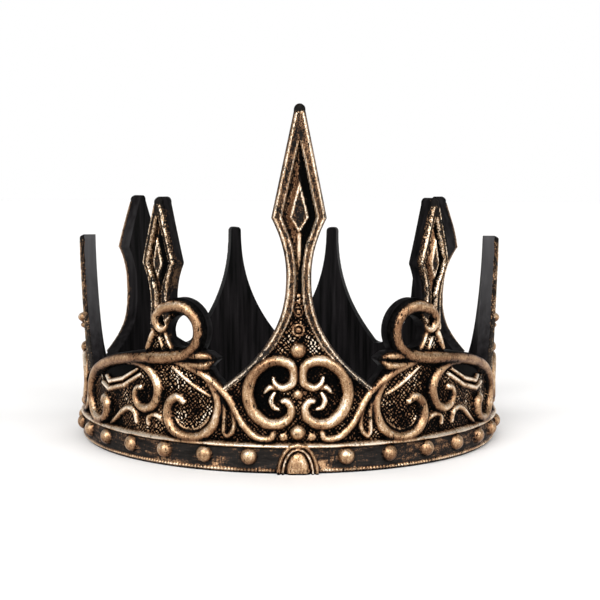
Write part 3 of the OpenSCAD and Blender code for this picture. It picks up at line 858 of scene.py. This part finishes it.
# Bristle marks and flake are finer than a render shows, about 0.2 mm, and are drawn coarser so that they do.
DRAG_MM = 0.8
DRAG_SQUEEZE = 0.35
WIPE_MM = 1.8
WIPE_SQUEEZE = 0.25
GRAIN_MM = 0.45
GRAIN_HEIGHT_M = 0.0002
BAND_ENDS_M = (0.0125, 0.0135)
DRAG_SHARE = 0.6
PATCH_SHARES = (1.05, 0.5)
GRAIN_SHARES = (0.7, 1.25)
UNEVEN_MIDDLE = 1.175
COVER_STARTS = 0.26
COVER_FULL = 0.56
BLACK_SHEEN_SHARE = 0.7
DRAG_SMEAR = 0.5
FLAKE_METALLIC = 0.8
BLACK_ROUGH = 0.5
BRONZE_ROUGH = 0.36
UNEVEN_TONE = 0.85
PEBBLE_TONE = 0.65
BRONZE_SHADES = ((0.02, "#180f0a"), (0.3, "#462f20"), (0.58, "#7d5b42"), (0.8, "#bd9b76"), (0.98, "#fcecd7"))
BLACK_AND_SHEEN_SHADES = ((0.3, "#010101"), (0.9, "#2a2725"))


def linear(code):
    """Linear colour from an sRGB hex value."""
    parts = [int(code[k:k + 2], 16) / 255 for k in (1, 3, 5)]
    return [p / 12.92 if p <= 0.04045 else ((p + 0.055) / 1.055) ** 2.4 for p in parts] + [1]


def node(kind, links=None, out=0, shades=(), **settings):
    """Adds a node with its settings, links and shades to the tree in hand, and gives back an output."""
    made = tree.nodes.new("ShaderNode" + kind)
    for name, value in settings.items():
        setattr(made, name, value)
    for socket, value in (links or {}).items():
        if isinstance(value, bpy.types.NodeSocket):
            tree.links.new(value, made.inputs[socket])
        else:
            made.inputs[socket].default_value = value
    for position, code in shades:
        made.color_ramp.elements.new(position).color = linear(code)
    if shades:
        made.color_ramp.elements.remove(made.color_ramp.elements[0])
        made.color_ramp.elements.remove(made.color_ramp.elements[-1])
    return made.outputs[out] if made.outputs else made


bronzed.use_nodes = True
tree = bronzed.node_tree
tree.nodes.clear()
where = node("TexCoord", out="Object")
where_x = node("SeparateXYZ", {0: where}, out="X")
where_y = where_x.node.outputs["Y"]
where_z = where_x.node.outputs["Z"]
painted, tone_and_light_value, pebbled, beaded, painted_sheen_value, dabbed = [
    node("Attribute", out="Fac", attribute_name=label)
    for label in ("bronze", "tone_and_light", "pebble", "milled", "painted_sheen", "stippled")]

# Brush drags run upright on the wall, and lie along the band, where the brush followed the hoop.
upright = node("Mapping", {"Vector": where, "Scale": (1, 1, DRAG_SQUEEZE)})
drag = node("TexNoise", {"Vector": upright, "Scale": PER_M / DRAG_MM, "Detail": 4, "Roughness": 0.6})
lying = node("Mapping", {"Vector": where, "Scale": (WIPE_SQUEEZE, WIPE_SQUEEZE, 1)})
wipe = node("TexNoise", {"Vector": lying, "Scale": PER_M / WIPE_MM, "Detail": 4, "Roughness": 0.65})
wipe = node("MapRange", {"Value": wipe, "From Min": 0.2, "From Max": 0.8, "To Min": -0.1, "To Max": 1.1})
on_band = node("MapRange", {"Value": where_z, "From Min": BAND_ENDS_M[0], "From Max": BAND_ENDS_M[1],
                            "To Min": 1.0, "To Max": 0.0})
on_band = node("MapRange", {"Value": painted_sheen_value, "From Min": 0.3, "From Max": 0.6, "To Min": 0.0,
                            "To Max": on_band})
drag = node("Mix", {0: on_band, 2: drag, 3: wipe})
grain = node("TexNoise", {"Vector": where, "Scale": PER_M / GRAIN_MM, "Detail": 2})
patch = node("TexNoise", {"Vector": where, "Scale": PER_M / PATCH_MM, "Detail": 5, "Roughness": 0.65})

# Pebbles stand in rows round the ring, strayed from their places, and catch the brush on their tops.
stray = node("TexNoise", {"Vector": where, "Scale": PER_M / PEBBLE_STRAY_MM, "Detail": 1}, out="Color")
strayed = node("VectorMath", {0: stray, 1: [PEBBLE_STRAY_M] * 3, 2: where}, operation="MULTIPLY_ADD")
strayed_x = node("SeparateXYZ", {0: strayed}, out="X")
strayed_y = strayed_x.node.outputs["Y"]
strayed_z = strayed_x.node.outputs["Z"]
pebbles_round = round(2 * math.pi * WALL_R / PEBBLE_MM)
pebble_turn = node("Math", {0: strayed_x, 1: strayed_y}, operation="ARCTAN2")
pebble_turn = node("Math", {0: pebble_turn, 1: pebbles_round}, operation="MULTIPLY")
pebble_turn = node("Math", {0: pebble_turn}, operation="SINE")
pebble_row = node("Math", {0: strayed_z, 1: 2 * math.pi * PER_M / PEBBLE_MM}, operation="MULTIPLY")
pebble_row = node("Math", {0: pebble_row}, operation="SINE")
pebble_top = node("Math", {0: pebble_turn, 1: pebble_row}, operation="MULTIPLY")
pebble_top = node("MapRange", {"Value": pebble_top, "From Min": 0.0, "From Max": PEBBLE_TOP},
                  interpolation_type="SMOOTHSTEP")
pebble_lift = node("Math", {0: pebble_top, 1: pebbled}, operation="MULTIPLY")
brushed = node("MapRange", {"Value": patch, "From Min": 0.4, "From Max": 0.58, "To Min": 0.7,
                            "To Max": 1.4})
pebble_paint = node("Math", {0: pebble_lift, 1: brushed}, operation="MULTIPLY")

# The beading on the base trim is a row of upright ribs.
ribs_round = round(2 * math.pi * WALL_R / MILLING_MM)
milling = node("Math", {0: where_x, 1: where_y}, operation="ARCTAN2")
milling = node("Math", {0: milling, 1: ribs_round}, operation="MULTIPLY")
milling = node("Math", {0: milling}, operation="SINE")
milling = node("Math", {0: milling, 1: beaded}, operation="MULTIPLY")

# The coat is uneven in drags, patches and grain; a dabbed face has more grain and fewer patches.
patch_share = node("MapRange", {"Value": dabbed, "To Min": PATCH_SHARES[0], "To Max": PATCH_SHARES[1]})
grain_share = node("MapRange", {"Value": dabbed, "To Min": GRAIN_SHARES[0], "To Max": GRAIN_SHARES[1]})
uneven = node("Math", {0: drag, 1: DRAG_SHARE, 2: -UNEVEN_MIDDLE}, operation="MULTIPLY_ADD")
uneven = node("Math", {0: patch, 1: patch_share, 2: uneven}, operation="MULTIPLY_ADD")
uneven = node("Math", {0: grain, 1: grain_share, 2: uneven}, operation="MULTIPLY_ADD")
fleck = node("TexNoise", {"Vector": upright, "Scale": PER_M / FLECK_MM, "Detail": 3, "Roughness": 0.7})
fleck = node("MapRange", {"Value": fleck, "From Min": 0.53, "From Max": 0.7, "To Min": 0.0, "To Max": 0.9})
paint = node("Math", {0: painted, 1: uneven}, operation="ADD")
paint = node("Math", {0: paint, 1: pebble_paint}, operation="ADD")
paint = node("Math", {0: milling, 1: MILLING_COAT, 2: paint}, operation="MULTIPLY_ADD")
paint = node("Math", {0: paint, 1: fleck}, operation="SUBTRACT")
cover = node("MapRange", {"Value": paint, "From Min": COVER_STARTS, "From Max": COVER_FULL},
             interpolation_type="SMOOTHSTEP")
shade = node("Math", {0: uneven, 1: UNEVEN_TONE, 2: tone_and_light_value}, operation="MULTIPLY_ADD")
shade = node("Math", {0: pebble_paint, 1: PEBBLE_TONE, 2: shade}, operation="MULTIPLY_ADD")
bronze_colour = node("ValToRGB", {"Fac": shade}, shades=BRONZE_SHADES)
# The black's colour carries its painted sheen and its brush drags.
drag_and_sheen = node("Math", {0: painted_sheen_value, 1: BLACK_SHEEN_SHARE}, operation="MULTIPLY")
drag_and_sheen = node("Math", {0: drag, 1: DRAG_SMEAR, 2: drag_and_sheen}, operation="MULTIPLY_ADD")
black_and_sheen_colour = node("ValToRGB", {"Fac": drag_and_sheen}, shades=BLACK_AND_SHEEN_SHADES)
colour = node("Mix", {0: cover, 6: black_and_sheen_colour, 7: bronze_colour}, out=2, data_type="RGBA")
metal = node("Math", {0: cover, 1: FLAKE_METALLIC}, operation="MULTIPLY")
rough = node("MapRange", {"Value": cover, "To Min": BLACK_ROUGH, "To Max": BRONZE_ROUGH})
lump = node("Math", {0: milling, 1: MILLING_LIFT, 2: pebble_lift}, operation="MULTIPLY_ADD")
lumpy = node("Bump", {"Height": lump, "Strength": 1.0, "Distance": PEBBLE_HEIGHT_M})
grainy = node("Bump", {"Height": grain, "Strength": 0.3, "Distance": GRAIN_HEIGHT_M, "Normal": lumpy})
surface = node("BsdfPrincipled", {"Base Color": colour, "Metallic": metal, "Roughness": rough,
                                  "Normal": grainy, "Specular IOR Level": 0.02})
node("OutputMaterial", {"Surface": surface})

# Bare foam, on the cut edges and the inside: the same black foam as it left the mould, unpainted. It is a
# dull black with faint upright streaks from the mould. The cut edges of the points at the crown's two sides
# are given a painted sheen of satin grey for the lamps' light, most towards their tops, and a little stray
# bronze sits on some of the edges.
STREAK_MM = 2.2
STREAK_SQUEEZE = 0.06
STREAK_SHARE = 0.4
EDGE_SHEEN_SHARE = 0.75
EDGE_SHEEN_AT_SIDE_M = (0.03, 0.055)
EDGE_SHEEN_UPWARDS_M = (0.04, 0.105)
STRAY_COAT = 0.3
STRAY_PATCH = 0.8
STRAY_DUST = 0.3
STRAY_METALLIC = 0.6
FOAM_AND_SHEEN_SHADES = ((0.14, "#010101"), (0.25, "#141213"), (0.9, "#454445"))
STRAY_BRONZE = "#7d5f45"

bare.use_nodes = True
tree = bare.node_tree
tree.nodes.clear()
where = node("TexCoord", out="Object")
where_y = node("SeparateXYZ", {0: where}, out="Y")
where_z = where_y.node.outputs["Z"]
painted = node("Attribute", out="Fac", attribute_name="bronze")
dusty = node("Attribute", out="Fac", attribute_name="dusted")

# A cut edge is known by its face, which is turned across the ring's radius.
outward = node("VectorMath", {0: where, 1: (1, 1, 0)}, operation="MULTIPLY")
outward = node("VectorMath", {0: outward}, operation="NORMALIZE")
facing = node("NewGeometry", out="True Normal")
along_radius = node("VectorMath", {0: outward, 1: facing}, out="Value", operation="DOT_PRODUCT")
along_radius = node("Math", {0: along_radius}, operation="ABSOLUTE")
on_edge = node("MapRange", {"Value": along_radius, "From Min": 0.7, "From Max": 0.4})

# Painted sheen: cut edges at the crown's sides are coloured grey, most towards their tops.
sheen_at_side = node("Math", {0: where_y}, operation="ABSOLUTE")
sheen_at_side = node("MapRange", {"Value": sheen_at_side, "From Min": EDGE_SHEEN_AT_SIDE_M[0],
                            "From Max": EDGE_SHEEN_AT_SIDE_M[1], "To Min": 1.0, "To Max": 0.06})
sheen_towards_top = node("MapRange", {"Value": where_z, "From Min": EDGE_SHEEN_UPWARDS_M[0],
                                "From Max": EDGE_SHEEN_UPWARDS_M[1], "To Min": 0.06, "To Max": 0.92})
upright = node("Mapping", {"Vector": where, "Scale": (1, 1, STREAK_SQUEEZE)})
streak = node("TexNoise", {"Vector": upright, "Scale": PER_M / STREAK_MM, "Detail": 3})
sheen = node("Math", {0: sheen_at_side, 1: sheen_towards_top}, operation="MULTIPLY")
sheen = node("Math", {0: sheen, 1: on_edge}, operation="MULTIPLY")
sheen = node("Math", {0: sheen, 1: EDGE_SHEEN_SHARE}, operation="MULTIPLY")
sheen = node("Math", {0: streak, 1: STREAK_SHARE, 2: sheen}, operation="MULTIPLY_ADD")
# The grey end of these shades is the painted sheen; the darker ones are the mould streaks.
foam_and_sheen_colour = node("ValToRGB", {"Fac": sheen}, shades=FOAM_AND_SHEEN_SHADES)

patch = node("TexNoise", {"Vector": where, "Scale": PER_M / PATCH_MM, "Detail": 7, "Roughness": 0.75})
drag = node("TexNoise", {"Vector": where, "Scale": PER_M / DRAG_MM, "Detail": 4, "Roughness": 0.6})
dust = node("Math", {0: dusty, 1: drag}, operation="MULTIPLY")
stray = node("Math", {0: painted, 1: STRAY_COAT}, operation="MULTIPLY")
stray = node("Math", {0: patch, 1: STRAY_PATCH, 2: stray}, operation="MULTIPLY_ADD")
stray = node("Math", {0: dust, 1: STRAY_DUST, 2: stray}, operation="MULTIPLY_ADD")
stray = node("Math", {0: stray, 1: on_edge}, operation="MULTIPLY")
cover = node("MapRange", {"Value": stray, "From Min": 0.6, "From Max": 0.8})
colour = node("Mix", {0: cover, 6: foam_and_sheen_colour, 7: linear(STRAY_BRONZE)}, out=2, data_type="RGBA")
metal = node("Math", {0: cover, 1: STRAY_METALLIC}, operation="MULTIPLY")
surface = node("BsdfPrincipled", {"Base Color": colour, "Metallic": metal, "Roughness": 0.5,
                                  "Specular IOR Level": 0.04})
node("OutputMaterial", {"Surface": surface})

# The studio: a sheet of white background paper for a floor, a white cove round it, and three broad soft
# lamps, a key from the upper left, a fill from the right and a weak one from above and behind.
FLOOR_HALF_M = 6.0
FLOOR_CORNERS = ((-1, -1), (1, -1), (1, 1), (-1, 1))
LAMPS = (("key", -24, 36, 3.0, 46), ("fill", 36, 30, 1.7, 46), ("top", 170, 70, 0.8, 40))
paper = bpy.data.materials.new("white_background_paper")
paper.use_nodes = True
tree = paper.node_tree
tree.nodes.clear()
surface = node("BsdfPrincipled", {"Base Color": linear("#f6f5f4"), "Roughness": 0.9})
node("OutputMaterial", {"Surface": surface})
floor_mesh = bpy.data.meshes.new("studio_floor")
floor_places = [(x * FLOOR_HALF_M, y * FLOOR_HALF_M, 0) for x, y in FLOOR_CORNERS]
floor_mesh.from_pydata(floor_places, [], [(0, 1, 2, 3)])
floor_mesh.materials.append(paper)
floor = bpy.data.objects.new("studio_floor", floor_mesh)
bpy.context.scene.collection.objects.link(floor)

# The cove is bright near the horizon and dim overhead, so that the lamps model the relief.
world = bpy.data.worlds.new("studio")
world.use_nodes = True
tree = world.node_tree
tree.nodes.clear()
up = node("SeparateXYZ", {0: node("TexCoord", out="Generated")}, out="Z")
cove = node("MapRange", {"Value": up, "From Min": 0.2, "From Max": 0.36, "To Min": 1.0, "To Max": 0.08})
backdrop = node("Background", {"Color": linear("#ffffff"), "Strength": cove})
node("OutputWorld", {"Surface": backdrop})
bpy.context.scene.world = world

for label, round_from_front, up, strength, spread in LAMPS:
    lamp = bpy.data.lights.new(label, "SUN")
    lamp.energy = strength
    lamp.angle = math.radians(spread)
    light = bpy.data.objects.new(label, lamp)
    light.rotation_euler = (math.radians(90 - up), 0, math.radians(round_from_front))
    bpy.context.scene.collection.objects.link(light)

# The camera: on a stand about 0.64 m from the crown's axis, ten degrees up and a little to the left of the
# front, and turned so that the crown sits in the frame as in the photograph.
CAMERA_FAR = 0.63844
CAMERA_UP = math.radians(10.533)
CAMERA_ROUND = math.radians(-2.17)
CAMERA_PAN = math.radians(0.471)
CAMERA_PITCH = math.radians(5.453)
CAMERA_ROLL = math.radians(0.316)
SENSOR_MM = 36
LENS_MM = 76.41
lens = bpy.data.cameras.new("camera")
lens.sensor_width = SENSOR_MM
lens.lens = LENS_MM
camera = bpy.data.objects.new("camera", lens)
from_crown = Vector((math.sin(CAMERA_ROUND) * math.cos(CAMERA_UP),
                     -math.cos(CAMERA_ROUND) * math.cos(CAMERA_UP), math.sin(CAMERA_UP)))
stand = from_crown * CAMERA_FAR + Vector((0, 0, STUD_AT / 1000))
heading = CAMERA_PAN - CAMERA_ROUND
ahead = Vector((math.sin(heading), math.cos(heading), 0))
level_right = Vector((ahead.y, -ahead.x, 0))
look = ahead * math.cos(CAMERA_PITCH) - Vector((0, 0, math.sin(CAMERA_PITCH)))
level_up = level_right.cross(look)
right = level_right * math.cos(CAMERA_ROLL) + level_up * math.sin(CAMERA_ROLL)
upward = level_up * math.cos(CAMERA_ROLL) - level_right * math.sin(CAMERA_ROLL)
camera.matrix_world = Matrix.Translation(stand) @ Matrix((right, upward, -look)).transposed().to_4x4()
bpy.context.scene.collection.objects.link(camera)
bpy.context.scene.camera = camera
bpy.context.scene.view_settings.view_transform = "Standard"
